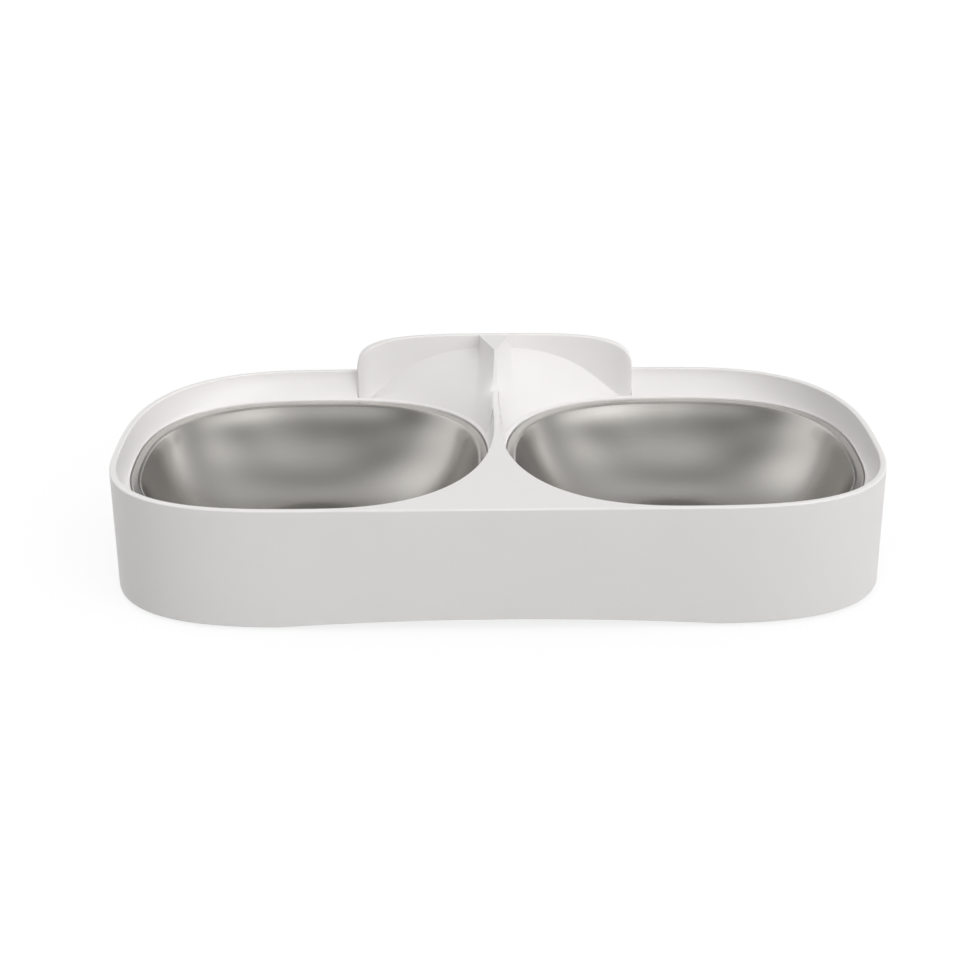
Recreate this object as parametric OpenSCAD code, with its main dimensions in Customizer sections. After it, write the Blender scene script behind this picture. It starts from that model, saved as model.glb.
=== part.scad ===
// Double pet bowl: two drawn steel bowls drop into a moulded white tray.
// A lift-off splitter behind them parts the falling kibble to the left and to the right.
// Millimetres. The origin is on the floor under the middle of the tray, the front faces -Y, up is +Z.

/* [Tray] */
// Distance from a bowl's flange to the outside of the tray at its ends
side_margin = 6; // [5:0.5:16]
// The same distance at the front
front_margin = 8.5; // [7.5:0.5:14]
// The same distance at the rear, where the splitter stands
rear_margin = 10.5; // [9.5:0.5:16]
// Height of the rim above the floor
rim_h = 58; // [54:1:66]
// Distance from a bowl's centre towards the middle at which the rounded end of the tray begins
corner_shift = 4; // [0:0.5:12]
// Place of the widest line, in front of the middle
widest_y = -17; // [-24:1:-10]
// Squareness of the rear corners, 2 is an ellipse
rear_power = 2.75; // [2.4:0.05:3.2]
// Squareness of the front corners
front_power = 2.85; // [2.4:0.05:3.2]
// Width of the flat lip on top of the wall
rim_w = 3; // [2.6:0.1:4]
// Thickness of the moulded walls
wall = 2.6; // [2:0.1:3]
// Inward lean of the wall from the rim down to the foot
draft = 0.45; // [0.2:0.05:1.2]
// Rounding of the outer edge of the rim
edge_r = 0.8; // [0.4:0.1:1.2]
// Distance that the arch under the front and rear wall reaches past the start of the rounded ends
arch_reach = 15; // [-10:1:25]
// Height of that arch
arch_h = 3.1; // [1:0.1:4]

/* [Wells] */
// Distance between the flanges of the two bowls
bowl_gap = 9; // [8:0.5:14]
// Depth of the bowls' flanges below the rim
flange_drop = 14; // [11:0.5:18]
// Free gap round each flange
flange_gap = 0.5; // [0.4:0.1:0.8]
// Step from the well's wall down to the top of the flange
flange_sink = 0.4; // [0.2:0.1:1]
// Width of the ledge that carries the flange
ledge_w = 3.4; // [2.6:0.1:3.6]
// Thickness of the ledge
ledge_t = 2.4; // [2:0.1:3.2]
// Height of the collar under the ledge
collar_h = 7; // [4:0.5:12]
// Thickness of the collar and of the ribs
rib_t = 1.8; // [1.4:0.1:2.4]
// Place from front to rear where the web between the wells is narrowest
neck_y = 18; // [10:1:22]
// Thickness of the web there, and of the blade behind it
blade_w = 2.8; // [2.2:0.1:3.4]
// Squareness of the wells' inner front corners
neck_power = 2.5; // [2.3:0.05:2.8]
// Hollowness of the wells' sloping walls, 1 is straight and 2 is a quarter round
cove_power = 1.5; // [1.2:0.1:2]

/* [Bowls] */
// Width of a bowl over its flange
bowl_w = 169.5; // [150:0.5:190]
// Depth of a bowl over its flange, from front to rear
bowl_d = 166; // [150:0.5:180]
// Squareness of the flange's rear corners
flange_power = 2.65; // [2.3:0.05:2.8]
// Squareness of its front corners, rounder so that the bowl lifts out past the web
flange_front_power = 2.45; // [2.2:0.05:2.5]
// Squareness of the base
base_power = 2; // [1.8:0.05:2.5]
// Height from the inside of the base to the top of the flange
bowl_h = 36; // [30:0.5:38]
// Thickness of the sheet
sheet = 0.8; // [0.6:0.1:1]
// Width of the flat on the flange, without its shoulder
flange_w = 3; // [2.6:0.1:3.4]
// Radius of the shoulder between the flange and the wall
shoulder_r = 2; // [1.4:0.1:2.4]
// Height of the straight part of the wall, above the wide round that makes the bowl a dish
straight_h = 3.6; // [2:0.2:8]
// Lean of that straight part from upright, in degrees
taper = 26; // [18:1:30]
// Height of the flange's turned-down edge
hem_h = 1.8; // [1.4:0.1:2.4]

/* [Splitter] */
// Distance from the hood's side edge to the start of the tray's rounded end
hood_inset = 14; // [8:1:24]
// Height of the hood above the rim
hood_h = 19.4; // [14:0.2:26]
// Squareness of the hood's top
hood_power = 3.3; // [2.4:0.1:3.6]
// Thickness of the hood's back panel
panel_t = 3; // [2.4:0.1:3.6]
// Width of the edge where each side of the hood turns forward
return_w = 4; // [3:0.5:6]
// Thickness of the ramps' skin
skin = 2.2; // [1.8:0.1:2.6]
// Free gap between the splitter and the tray
slip = 0.3; // [0.25:0.05:0.4]
// Width of the lip that the tray keeps round each flange, in front of the ramps
lip_w = 1.6; // [1.4:0.1:2]
// Height of the ramps on the panel above their front edge
ramp_h = 26; // [20:0.5:28]
// Distance from the hood's side edge at which the ramps run out on the panel
ramp_inset = 5; // [4:0.5:12]
// Roundness of that arch on the panel
arch_power = 2.4; // [2:0.1:3]
// Distance from the middle to the foot of the prow's flanks, at the panel
prow_x = 8.6; // [7:0.2:10]
// Widening of that foot from the panel to the nose
foot_flare = 5.5; // [0:0.5:8]
// Hollowness of the flanks, 1 is straight and 2 is a quarter round
flank_power = 1.8; // [1.2:0.1:2]
// Distance from the panel's back to the prow's tip
prow_d = 26.1; // [20:0.1:30]
// Length over which the prow's ridge comes down to the blade
ridge_d = 10; // [7:0.5:12]
// Distance from the narrowest place of the web to the splitter's nose
nose_d = 13; // [11:0.5:17]

/* [Feet] */
// Radius of a foot pad
pad_r = 6; // [5:0.5:7]
// Thickness of a foot pad
pad_t = 2.6; // [2:0.1:3.4]
// Height of the tray above the floor, between the pads
foot_gap = 1.2; // [0.8:0.1:1.6]
// Distance from a foot's middle to the end of the tray
foot_inset = 35; // [30:1:45]
// Radius of the boss that holds a pad
boss_r = 8; // [7.5:0.5:9]
// Height of that boss
boss_h = 11; // [7:0.5:13]

/* [Hidden] */
$fn = 48;

// Number of points on a quarter of an outline
outline_steps = 18;
well_steps = 14;
// Number of steps in the small curves
cove_steps = 4;
arc_steps = 8;
shoulder_steps = 3;
arch_steps = 20;
ramp_steps = 8;
slots = 6;
flank_steps = 5;
turn_steps = 6;
hood_steps = 12;
// Length by which a cut runs past what it cuts
over = 5;

bowl_x = (bowl_w + bowl_gap) / 2;
bowl_y = (front_margin - rear_margin) / 2;
tray_w = 2 * (bowl_x + bowl_w / 2 + side_margin);
tray_d = bowl_d + front_margin + rear_margin;
corner_x = bowl_x - corner_shift;
corner_w = tray_w / 2 - corner_x;
arch_w = 2 * (corner_x + arch_reach);
foot_x = tray_w / 2 - foot_inset;
flange_z = rim_h - flange_drop;
lip_z = flange_z + flange_sink;
ledge_z = flange_z - hem_h;
ledge_foot = ledge_z - ledge_t;
base_z = flange_z - bowl_h;
panel_y = tray_d / 2 - draft * flange_drop / rim_h - slip;
face_y = panel_y - panel_t;
hood_x = corner_x - hood_inset;
ramp_x = hood_x - ramp_inset;
tip_y = panel_y - prow_d;
nose_y = neck_y + nose_d;
top_z = rim_h + hood_h;
// Reach of the hood's sides in front of its panel, up to the tray's lip
return_d = face_y - bowl_y - bowl_d / 2 - flange_gap - lip_w - slip;
// Place where the blade ends and the ridge begins to rise
blade_end = tip_y - ridge_d;
// Half of the ridge's width beside the blade, with the blade's slot and a narrow flat, and at the tip
ridge_flat = 0.3;
ridge_w = blade_w / 2 + slip + ridge_flat;
tip_w = 0.4;
// Least width of a ramp beside the flanks' foot
foot_step = 0.4;
// Drop from the hood's top to the top of the prow
prow_drop = 0.8;
// Steepness of the ridge's rise to the tip, and hollowness of the hood's sides
ridge_power = 2;
return_power = 6;

// One point of a squircle that reaches 1 along each axis
function squircle(angle, power) =
    [cos(angle), sin(angle)]
    / pow(pow(abs(cos(angle)), power) + pow(abs(sin(angle)), power), 1 / power);

// A quarter of an outline, from angle 90 * turn on, round its own centre
function quarter(centre, reach, power, turn, steps, last) =
    [for (k = [0:last]) let (u = squircle(90 * (turn + k / steps), power))
        [centre.x + reach.x * u.x, centre.y + reach.y * u.y]];

// Plan of the tray's wall, drawn in by inset
function tray_outline(inset) = let (
        rear = [corner_w - inset, tray_d / 2 - widest_y - inset],
        front = [corner_w - inset, tray_d / 2 + widest_y - inset],
        right = [corner_x, widest_y],
        left = [-corner_x, widest_y],
        n = outline_steps)
    concat(
        quarter(right, rear, rear_power, 0, n, n),
        quarter(left, rear, rear_power, 1, n, n - 1),
        quarter(left, front, front_power, 2, n, n),
        quarter(right, front, front_power, 3, n, n - 1));

// Plan of the right-hand well at the height of the rim, grown by grow
function well_rim(grow) = let (
        outer = corner_w - rim_w + grow,
        inner = corner_x - blade_w / 2 + grow,
        reach = tray_d / 2 - rim_w + grow,
        side = [corner_x, widest_y],
        neck = [corner_x, neck_y],
        n = well_steps)
    concat(
        quarter(side, [outer, reach - widest_y], rear_power, 0, n, n - 1),
        quarter(neck, [inner, reach - neck_y], rear_power, 1, n, n - 1),
        quarter(neck, [inner, reach + neck_y], neck_power, 2, n, n - 1),
        quarter(side, [outer, reach + widest_y], front_power, 3, n, n - 1));

// Plan of the right-hand bowl, drawn in from its flange by inset
// Its corners turn from the flange's into the base's as base_share goes from 0 to 1
function bowl_ring(inset, base_share = 0) =
    [for (turn = [0:3])
        let (flange = turn < 2 ? flange_power : flange_front_power,
            power = flange * (1 - base_share) + base_power * base_share)
        each quarter([bowl_x, bowl_y], [bowl_w / 2 - inset, bowl_d / 2 - inset],
            power, turn, well_steps, well_steps - 1)];

function reversed(list) = [for (k = [len(list) - 1:-1:0]) list[k]];

// Gives every point of a plan the same height
function at_height(plan, z) = [for (p = plan) [p.x, p.y, z]];

// Point by point mix of two plans
function mix(a, b, share) = [for (k = [0:len(a) - 1]) a[k] * (1 - share) + b[k] * share];

// Closed solid through a stack of rings that all have the same number of points
// Rings that are mirror images of themselves, from their second point on, are closed by a ladder
// of narrow faces from side to side
module loft(rings, ladder = false) {
    n = len(rings[0]);
    last = len(rings) - 1;
    points = [for (ring = rings) each ring];
    end = ladder
        ? [for (k = [1:n / 2 - 1]) each [[k, k + 1, n - k], [k, n - k, (n - k + 1) % n]]]
        : [[for (k = [0:n - 1]) k]];
    head = [for (face = end) [for (k = reversed(face)) last * n + k]];
    sides = [for (r = [0:last - 1], k = [0:n - 1])
        let (a = r * n + k, b = r * n + (k + 1) % n)
        each [[a, a + n, b + n], [a, b + n, b]]];
    polyhedron(points = points, faces = concat(end, head, sides));
}

// Keeps what it is given and adds its mirror image on the left
module both_sides() {
    children();
    mirror([1, 0, 0]) children();
}

// The tray's outer body, or its inside when it is drawn in by inset
module tray_body(inset, z0, z1) {
    loft([for (z = [z0, z1])
        at_height(tray_outline(inset + draft * (1 - z / rim_h)), z)]);
}

// The rounded outer edge of the rim, as the last part of the body
module tray_top() {
    loft([for (k = [0:2])
        let (angle = 45 * k)
        at_height(tray_outline(edge_r * (1 - cos(angle)) + draft * edge_r / rim_h * (1 - sin(angle))),
            rim_h - edge_r * (1 - sin(angle)))]);
}

// The right-hand well: its sloping wall from the rim down, and the recess of the flange
// Grown by grow it is the back of that wall, and closed at the underside of the ledge
module well(grow, foot, head) {
    recess = bowl_ring(-flange_gap - grow);
    rim = well_rim(grow);
    slope = [for (k = [0:cove_steps])
        let (angle = 90 - 90 * k / cove_steps,
            out_share = pow(cos(angle), 2 / cove_power),
            up_share = 1 - pow(sin(angle), 2 / cove_power))
        at_height(mix(recess, rim, out_share), lip_z + (rim_h - lip_z) * up_share)];
    loft(concat([at_height(recess, foot)], slope, [at_height(rim, head)]));
}

// Plan of the space behind the bowls that takes the splitter, less by gap at its edges
module pocket_plan(gap) {
    difference() {
        translate([-hood_x - slip + gap, nose_y + gap])
            square([2 * (hood_x + slip - gap), tray_d]);
        both_sides() polygon(bowl_ring(-flange_gap - lip_w - gap));
        translate([-blade_w / 2 - gap, nose_y - over])
            square([blade_w + 2 * gap, blade_end - nose_y + over + gap]);
    }
}

// Place from front to rear of the wall's inner face at a given distance from the middle
function wall_y(x, reach, power) =
    (reach - wall) * pow(1 - pow((x - corner_x) / (corner_w - wall), power), 1 / power);
foot_rear_y = widest_y + wall_y(foot_x, tray_d / 2 - widest_y, rear_power) - boss_r + rib_t;
foot_front_y = widest_y - wall_y(foot_x, tray_d / 2 + widest_y, front_power) + boss_r - rib_t;

module foot_places() {
    both_sides() {
        translate([foot_x, foot_rear_y]) children();
        translate([foot_x, foot_front_y]) children();
    }
}

// What stays in the hollow under the tray: the wells' walls, ledges, collars, ribs and bosses
module underside() {
    both_sides() {
        well(wall, ledge_foot, rim_h + over);
        translate([0, 0, ledge_foot - collar_h])
            linear_extrude(collar_h + ledge_t) polygon(bowl_ring(ledge_w - rib_t));
        translate([bowl_x - rib_t / 2, -tray_d / 2, ledge_foot - collar_h])
            cube([rib_t, tray_d, collar_h + ledge_t]);
        translate([bowl_x, bowl_y - rib_t / 2, ledge_foot - collar_h])
            cube([tray_w / 2 - bowl_x, rib_t, collar_h + ledge_t]);
    }
    translate([-hood_x - slip - wall, nose_y - wall, ledge_foot])
        cube([2 * (hood_x + slip + wall), tray_d, rim_h]);
    translate([-rib_t / 2, -tray_d / 2, ledge_foot - collar_h])
        cube([rib_t, (tray_d - bowl_d / 2) / 2, rim_h]);
    foot_places() cylinder(r = boss_r, h = foot_gap + boss_h);
}

// Low arch that lifts the front and rear wall between the two lobes
module arch_cut() {
    translate([0, tray_d, foot_gap]) rotate([90, 0, 0]) linear_extrude(2 * tray_d)
        polygon(concat(
            [[arch_w / 2, -over], [-arch_w / 2, -over]],
            [for (k = [0:arch_steps]) let (share = 2 * k / arch_steps - 1)
                [arch_w / 2 * share, arch_h * (1 - share * share)]]));
}

module tray() {
    color("whitesmoke") difference() {
        union() {
            tray_body(0, foot_gap, rim_h - edge_r);
            tray_top();
        }
        difference() {
            tray_body(wall, -over, rim_h - wall);
            underside();
        }
        both_sides() {
            well(0, ledge_z, rim_h + over);
            translate([0, 0, -over])
                linear_extrude(rim_h) polygon(bowl_ring(ledge_w));
        }
        translate([0, 0, ledge_z]) linear_extrude(rim_h) pocket_plan(0);
        arch_cut();
        foot_places() translate([0, 0, -over])
            cylinder(r = pad_r + slip, h = pad_t + over);
    }
}

// Arc of a bowl's shoulder and of its base corner, offset outwards by sheet for the outer face
// Each point is an inset from the flange's edge and a height
shoulder_z = flange_z - shoulder_r;
// Radius of the round from the wall down into the flat base
bottom_r = (bowl_h - straight_h) / (1 - sin(taper)) - shoulder_r;
corner_z = base_z + bottom_r;
base_inset = flange_w
    + (bottom_r + shoulder_r + (shoulder_z - corner_z) * sin(taper)) / cos(taper);
function shoulder(offset) = [for (k = [0:shoulder_steps])
    let (angle = (90 - taper) * k / shoulder_steps)
    [flange_w + (shoulder_r - offset) * sin(angle), shoulder_z + (shoulder_r - offset) * cos(angle)]];
function base_corner(offset) = [for (k = [0:arc_steps])
    let (angle = taper + (90 - taper) * k / arc_steps)
    [base_inset - (bottom_r + offset) * cos(angle), corner_z - (bottom_r + offset) * sin(angle)]];

// One sheet of steel: up the outside, round the turned-down edge and down the inside
module bowl() {
    hem = [
        [sheet, flange_z - sheet],
        [sheet, flange_z - hem_h],
        [0, flange_z - hem_h],
        [0, flange_z - sheet / 2],
        [sheet / 2, flange_z]];
    profile = concat(reversed(concat(shoulder(sheet), base_corner(sheet))), hem,
        shoulder(0), base_corner(0));
    loft([for (p = profile) at_height(bowl_ring(p.x, p.x / base_inset), p.y)]);
}

module right_bowl() {
    color("silver") bowl();
}

module left_bowl() {
    color("silver") mirror([1, 0, 0]) bowl();
}

// Height of the ramps along the panel, at a given distance from the middle
function arch_z(x) = lip_z + ramp_h * (1 - pow(min(x / ramp_x, 1), arch_power));

// Front edge of the ramps round the right-hand bowl: y at a given x, and x at a given y
lip_reach = [bowl_w / 2 + flange_gap + lip_w + slip, bowl_d / 2 + flange_gap + lip_w + slip];
function ramp_front(x, inset) = bowl_y + (lip_reach.y + inset)
    * pow(1 - pow(min(abs(x - bowl_x) / (lip_reach.x + inset), 1), flange_power), 1 / flange_power);
function lip_x(y) = bowl_x - lip_reach.x
    * pow(1 - pow(min(abs(y - bowl_y) / lip_reach.y, 1), flange_power), 1 / flange_power);

// Height of a ramp's surface: straight from its front edge back and up to the panel
function ramp_z(x, y) = let (front = ramp_front(x, 0))
    lip_z + (arch_z(x) - lip_z) * (y - front) / (face_y - front);

// Height of the ridge between the ramps: level with the blade, then up to the prow's tip
function ridge_z(y) = rim_h
    + (hood_h - prow_drop) * pow(min(max(0, (y - blade_end) / ridge_d), 1), ridge_power);

// Half of the ridge's width: the blade's, then the tip's, then out to the panel
function ridge_x(y) = y < tip_y
    ? ridge_w + (tip_w - ridge_w) * max(0, (y - blade_end) / ridge_d)
    : tip_w + (prow_x - foot_step - tip_w) * min(1, (y - tip_y) / (face_y - tip_y));

// Distance from the middle to the flanks' foot, which widens from the panel to the nose
function foot_x_at(y) = prow_x + foot_flare * (face_y - y) / (face_y - nose_y);

// Places from front to rear of the chute's rings, closer together where the lip turns
side_x = hood_x - return_w / 2;
turn_y = ramp_front(side_x, 0);
chute_ys = concat(
    [for (k = [0:flank_steps - 1]) nose_y + slip + (blade_end - nose_y - slip) * k / flank_steps],
    [for (k = [0:flank_steps - 1]) blade_end + ridge_d * k / flank_steps],
    [for (k = [0:turn_steps]) tip_y + (turn_y - tip_y) * sin(90 * k / turn_steps)],
    [face_y + panel_t / 2]);

// Both ramps and the prow between them, as one block from the nose back into the panel
module chute() {
    loft([for (y = chute_ys)
        let (
            edge = y < turn_y ? min(side_x, lip_x(y)) : side_x,
            foot = min(foot_x_at(y), edge - foot_step),
            tip = ridge_x(y),
            ramp = [for (k = [0:ramp_steps - 1])
                let (x = edge + (foot - edge) * k / ramp_steps)
                [x, ramp_z(x, y)]],
            low = ramp_z(foot, y),
            flank = [for (k = [flank_steps:-1:0])
                let (angle = 90 * k / flank_steps,
                    out_share = 1 - pow(cos(angle), 2 / flank_power),
                    up_share = 1 - pow(sin(angle), 2 / flank_power))
                [tip + (foot - tip) * out_share, low + (ridge_z(y) - low) * up_share]],
            side = concat(ramp, flank))
        concat(
            [[edge, y, ledge_z], [-edge, y, ledge_z]],
            [for (p = side) [-p.x, y, p.y]],
            [for (p = reversed(side)) [p.x, y, p.y]])], ladder = true);
}

// The hollows under the right-hand ramp: slots between ribs, whose roofs follow the ramp's slope
module ramp_slots() {
    first = prow_x + skin;
    pitch = (side_x - first) / slots;
    back = face_y - skin / 2;
    for (k = [0:slots - 1]) {
        x = first + pitch * (k + 1) - rib_t;
        front = ramp_front(x, skin);
        roof = ramp_z(x, back) - skin;
        if (roof > ledge_z + skin)
            translate([x - pitch + rib_t, 0, 0]) rotate([90, 0, 90]) linear_extrude(pitch - rib_t)
                polygon([[front, ledge_z - over], [back, ledge_z - over],
                    [back, roof], [front, ramp_z(x, front) - skin]]);
    }
}

// The hollow inside the prow
module prow_hollow() {
    translate([0, 0, ledge_z - over]) linear_extrude(top_z - prow_drop - skin - ledge_z + over)
        polygon([[prow_x - 2 * skin, face_y - skin / 2],
            [-prow_x + 2 * skin, face_y - skin / 2],
            [-tip_w, tip_y + 2 * skin],
            [tip_w, tip_y + 2 * skin]]);
}

// The hood's outline, seen from the front
module hood_face() {
    polygon(concat(
        [[hood_x, ledge_z], [-hood_x, ledge_z]],
        [for (k = [2 * hood_steps:-1:0]) let (u = squircle(90 * k / hood_steps, hood_power))
            [hood_x * u.x, rim_h + hood_h * u.y]]));
}

// The hood: an upright panel whose side edges are thickened towards the front
module hood() {
    intersection() {
        translate([0, panel_y, 0]) rotate([90, 0, 0]) linear_extrude(tray_d / 2) hood_face();
        linear_extrude(top_z + over) polygon(concat(
            [[-hood_x, panel_y + over], [-hood_x, face_y - return_d]],
            [for (k = [-hood_steps:hood_steps])
                let (share = k / hood_steps)
                [(hood_x - return_w) * share, face_y - return_d * pow(abs(share), return_power)]],
            [[hood_x, face_y - return_d], [hood_x, panel_y + over]]));
    }
}

module splitter() {
    color("whitesmoke") difference() {
        union() {
            hood();
            chute();
        }
        both_sides() ramp_slots();
        prow_hollow();
        translate([-blade_w / 2 - slip, 0, 0])
            cube([blade_w + 2 * slip, blade_end + slip, top_z]);
    }
}

module foot(place_y, side) {
    color("gainsboro") translate([side * foot_x, place_y]) cylinder(r = pad_r, h = pad_t);
}

tray();
splitter();
left_bowl();
right_bowl();
foot(foot_front_y, -1);  // front_left_foot
foot(foot_front_y, 1);  // front_right_foot
foot(foot_rear_y, -1);  // rear_left_foot
foot(foot_rear_y, 1);  // rear_right_foot
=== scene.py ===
# %% [markdown]
# # A double pet bowl: moulded tray, lift-off splitter and two drawn steel bowls
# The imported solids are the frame: they say where each piece is and what it moves with.
# This lesson dresses them. Each solid is right in size, but its curves are made of few flats,
# so the same outlines are drawn again here with many more points and with rounded edges,
# and each new piece stands in for its solid.

# %% Load the frame
import math

import bmesh
import bpy
import numpy as np
from mathutils import Matrix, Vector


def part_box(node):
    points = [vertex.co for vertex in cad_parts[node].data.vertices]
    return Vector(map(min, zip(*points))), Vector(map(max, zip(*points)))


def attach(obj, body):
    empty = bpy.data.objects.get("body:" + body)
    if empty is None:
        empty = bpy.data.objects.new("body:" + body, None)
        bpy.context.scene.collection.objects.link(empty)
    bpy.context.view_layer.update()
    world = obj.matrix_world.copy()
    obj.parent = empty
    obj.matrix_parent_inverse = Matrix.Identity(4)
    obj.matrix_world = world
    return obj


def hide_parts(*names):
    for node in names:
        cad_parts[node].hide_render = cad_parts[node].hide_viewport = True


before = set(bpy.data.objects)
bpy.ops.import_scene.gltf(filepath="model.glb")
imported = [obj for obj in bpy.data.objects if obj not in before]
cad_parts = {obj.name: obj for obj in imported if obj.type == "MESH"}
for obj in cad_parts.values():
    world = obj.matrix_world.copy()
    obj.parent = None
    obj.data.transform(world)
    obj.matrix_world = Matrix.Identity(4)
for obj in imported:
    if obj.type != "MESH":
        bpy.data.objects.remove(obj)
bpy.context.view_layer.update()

MM = 0.001
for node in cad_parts:
    low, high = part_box(node)
    print(node, "spans", [round((b - a) / MM, 1) for a, b in zip(low, high)], "mm")

# %% [markdown]
# ## The sizes
# A maker works from a drawing, and so does this lesson. The values are those of the solids,
# in millimetres, so each new piece falls where its solid is. Five are changed a little for
# the picture: the hood's corners are squarer, the prow's flanks are hollower and its top is
# higher, the rim's edge is rounder, and the seam is finer than the free gap of the solids.
# The other rounded edges are extra: an injection-moulded edge has a small radius, because a
# sharp one is hard on the tool and on the hand, and it is the radius that catches the light
# in a photograph.

# %% Sizes of the tray and its wells
bowl_w, bowl_d, bowl_gap = 169.5, 166, 9
side_margin, front_margin, rear_margin = 6, 8.5, 10.5
corner_shift, flange_drop, lip_rise, foot_margin = 4, 14, 0.4, 35
bowl_x = (bowl_w + bowl_gap) / 2
bowl_y = (front_margin - rear_margin) / 2
tray_w = 2 * (bowl_x + bowl_w / 2 + side_margin)
tray_d = bowl_d + front_margin + rear_margin
corner_x = bowl_x - corner_shift
corner_w = tray_w / 2 - corner_x
rim_h, rim_w, wall, draft = 58, 3, 2.6, 0.45
widest_y, neck_y, blade_w = -17, 18, 2.8
rear_power, front_power, neck_power, cove_power = 2.75, 2.85, 2.5, 1.5
flange_z = rim_h - flange_drop
lip_z = flange_z + lip_rise
flange_gap, ledge_w, ledge_t, collar_h, rib_t = 0.5, 3.4, 2.4, 7, 1.8
foot_gap, boss_r, boss_h, pad_r, pad_t = 1.2, 8, 11, 6, 2.6
foot_x = tray_w / 2 - foot_margin
arch_spread, arch_h = 15, 3.1
arch_w = 2 * (corner_x + arch_spread)
print("tray", tray_w, "by", tray_d, "by", rim_h, "mm")

# %% Sizes of the bowls
flange_power, flange_front_power, base_power = 2.65, 2.45, 2
bowl_h, sheet, flange_w, shoulder_r, straight_h, hem_h = 36, 0.8, 3, 2, 3.6, 1.8
taper = math.radians(26)
bottom_r = (bowl_h - straight_h) / (1 - math.sin(taper)) - shoulder_r
base_z = flange_z - bowl_h
ledge_z = flange_z - hem_h
ledge_foot = ledge_z - ledge_t
print("bowl", bowl_w, "by", bowl_d, "by", bowl_h, "mm, base inside at", base_z)

# %% Sizes of the splitter
slip, seam, lip_w, panel_t, return_w, skin = 0.3, 0.12, 1.6, 3, 4, 2.2
hood_shift, hood_h, hood_power = 14, 19.4, 3.5
hood_x = corner_x - hood_shift
panel_y = tray_d / 2 - draft * (rim_h - flange_z) / rim_h - slip
face_y = panel_y - panel_t
top_z = rim_h + hood_h
ramp_h, ramp_margin, arch_power = 26, 5, 2.4
ramp_x = hood_x - ramp_margin
prow_x, foot_flare, flank_power = 8.6, 5.5, 2
tip_depth, ridge_d, nose_shift = 26.1, 10, 13
tip_y, nose_y = panel_y - tip_depth, neck_y + nose_shift
return_d = face_y - bowl_y - bowl_d / 2 - flange_gap - lip_w - slip
blade_end = tip_y - ridge_d
ridge_lap, tip_w, foot_step, prow_drop = 0.3, 0.4, 0.4, 0.25
ridge_w = blade_w / 2 + slip + ridge_lap
ridge_power, return_power = 2, 6
print("splitter", 2 * hood_x, "mm wide, top at", round(top_z, 1))

# %% [markdown]
# ## Outlines
# The tray and the bowls are squircles: curves between an ellipse and a rectangle. A power
# of 2 gives the ellipse, and a larger one squarer corners. One function gives a point of
# the curve, and everything else is put together from quarters of it.

# %% Points of a squircle, and quarters of it
def squircle(angle, power):
    c, s = math.cos(angle), math.sin(angle)
    reach = (abs(c) ** power + abs(s) ** power) ** (1 / power)
    return c / reach, s / reach


def quarter(centre, reach, power, turn, steps, last):
    points = []
    for k in range(last + 1):
        u = squircle(math.pi / 2 * (turn + k / steps), power)
        points.append((centre[0] + reach[0] * u[0], centre[1] + reach[1] * u[1]))
    return points


# %% Plan of the tray's wall, of a well and of a bowl
FINE = 44


def tray_outline(inset):
    rear = (corner_w - inset, tray_d / 2 - widest_y - inset)
    front = (corner_w - inset, tray_d / 2 + widest_y - inset)
    right, left = (corner_x, widest_y), (-corner_x, widest_y)
    return (quarter(right, rear, rear_power, 0, FINE, FINE)
            + quarter(left, rear, rear_power, 1, FINE, FINE - 1)
            + quarter(left, front, front_power, 2, FINE, FINE)
            + quarter(right, front, front_power, 3, FINE, FINE - 1))


def well_rim(grow):
    outer = corner_w - rim_w + grow
    inner = corner_x - blade_w / 2 + grow
    reach = tray_d / 2 - rim_w + grow
    side, neck = (corner_x, widest_y), (corner_x, neck_y)
    return (quarter(side, (outer, reach - widest_y), rear_power, 0, FINE, FINE - 1)
            + quarter(neck, (inner, reach - neck_y), rear_power, 1, FINE, FINE - 1)
            + quarter(neck, (inner, reach + neck_y), neck_power, 2, FINE, FINE - 1)
            + quarter(side, (outer, reach + widest_y), front_power, 3, FINE, FINE - 1))


def bowl_ring(inset, base_share=0.0):
    points = []
    for turn in range(4):
        flange = flange_power if turn < 2 else flange_front_power
        power = flange * (1 - base_share) + base_power * base_share
        points += quarter((bowl_x, bowl_y), (bowl_w / 2 - inset, bowl_d / 2 - inset),
                          power, turn, FINE, FINE - 1)
    return points


print("outlines have", len(tray_outline(0)), "and", len(bowl_ring(0)), "points")

# %% [markdown]
# ## Solids from stacks of outlines
# A loft joins a stack of outlines into one closed skin, as a hull is planked over its
# frames. Where solids meet, one is added to or cut from the other, as in the solid model.
# A boolean leaves clean edges that way, and the rounded edges are already in the stacks.

# %% A loft, and its mirror image
def at_height(plan, z):
    return [(x, y, z) for x, y in plan]


def mix(a, b, share):
    return [tuple(p * (1 - share) + q * share for p, q in zip(m, n)) for m, n in zip(a, b)]


def new_object(name, points, faces):
    mesh = bpy.data.meshes.new(name)
    mesh.from_pydata(points, [], faces)
    mesh.update()
    thing = bpy.data.objects.new(name, mesh)
    bpy.context.scene.collection.objects.link(thing)
    return thing


def loft(name, rings):
    n, last = len(rings[0]), len(rings) - 1
    points = [p for ring in rings for p in ring]
    faces = []
    for r in range(last):
        low, high = r * n, (r + 1) * n
        for k in range(n):
            after = (k + 1) % n
            faces.append((low + k, low + after, high + after, high + k))
    faces.append(tuple(reversed(range(n))))
    faces.append(tuple(range(last * n, last * n + n)))
    return new_object(name, points, faces)


def flip(thing):
    """Turns a right-hand piece into a left-hand one."""
    shape = bmesh.new()
    shape.from_mesh(thing.data)
    bmesh.ops.scale(shape, vec=(-1, 1, 1), verts=shape.verts)
    bmesh.ops.reverse_faces(shape, faces=shape.faces)
    shape.to_mesh(thing.data)
    shape.free()
    return thing


def mirrored(thing):
    copy = bpy.data.objects.new(thing.name + "_mirrored", thing.data.copy())
    bpy.context.scene.collection.objects.link(copy)
    return flip(copy)


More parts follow.
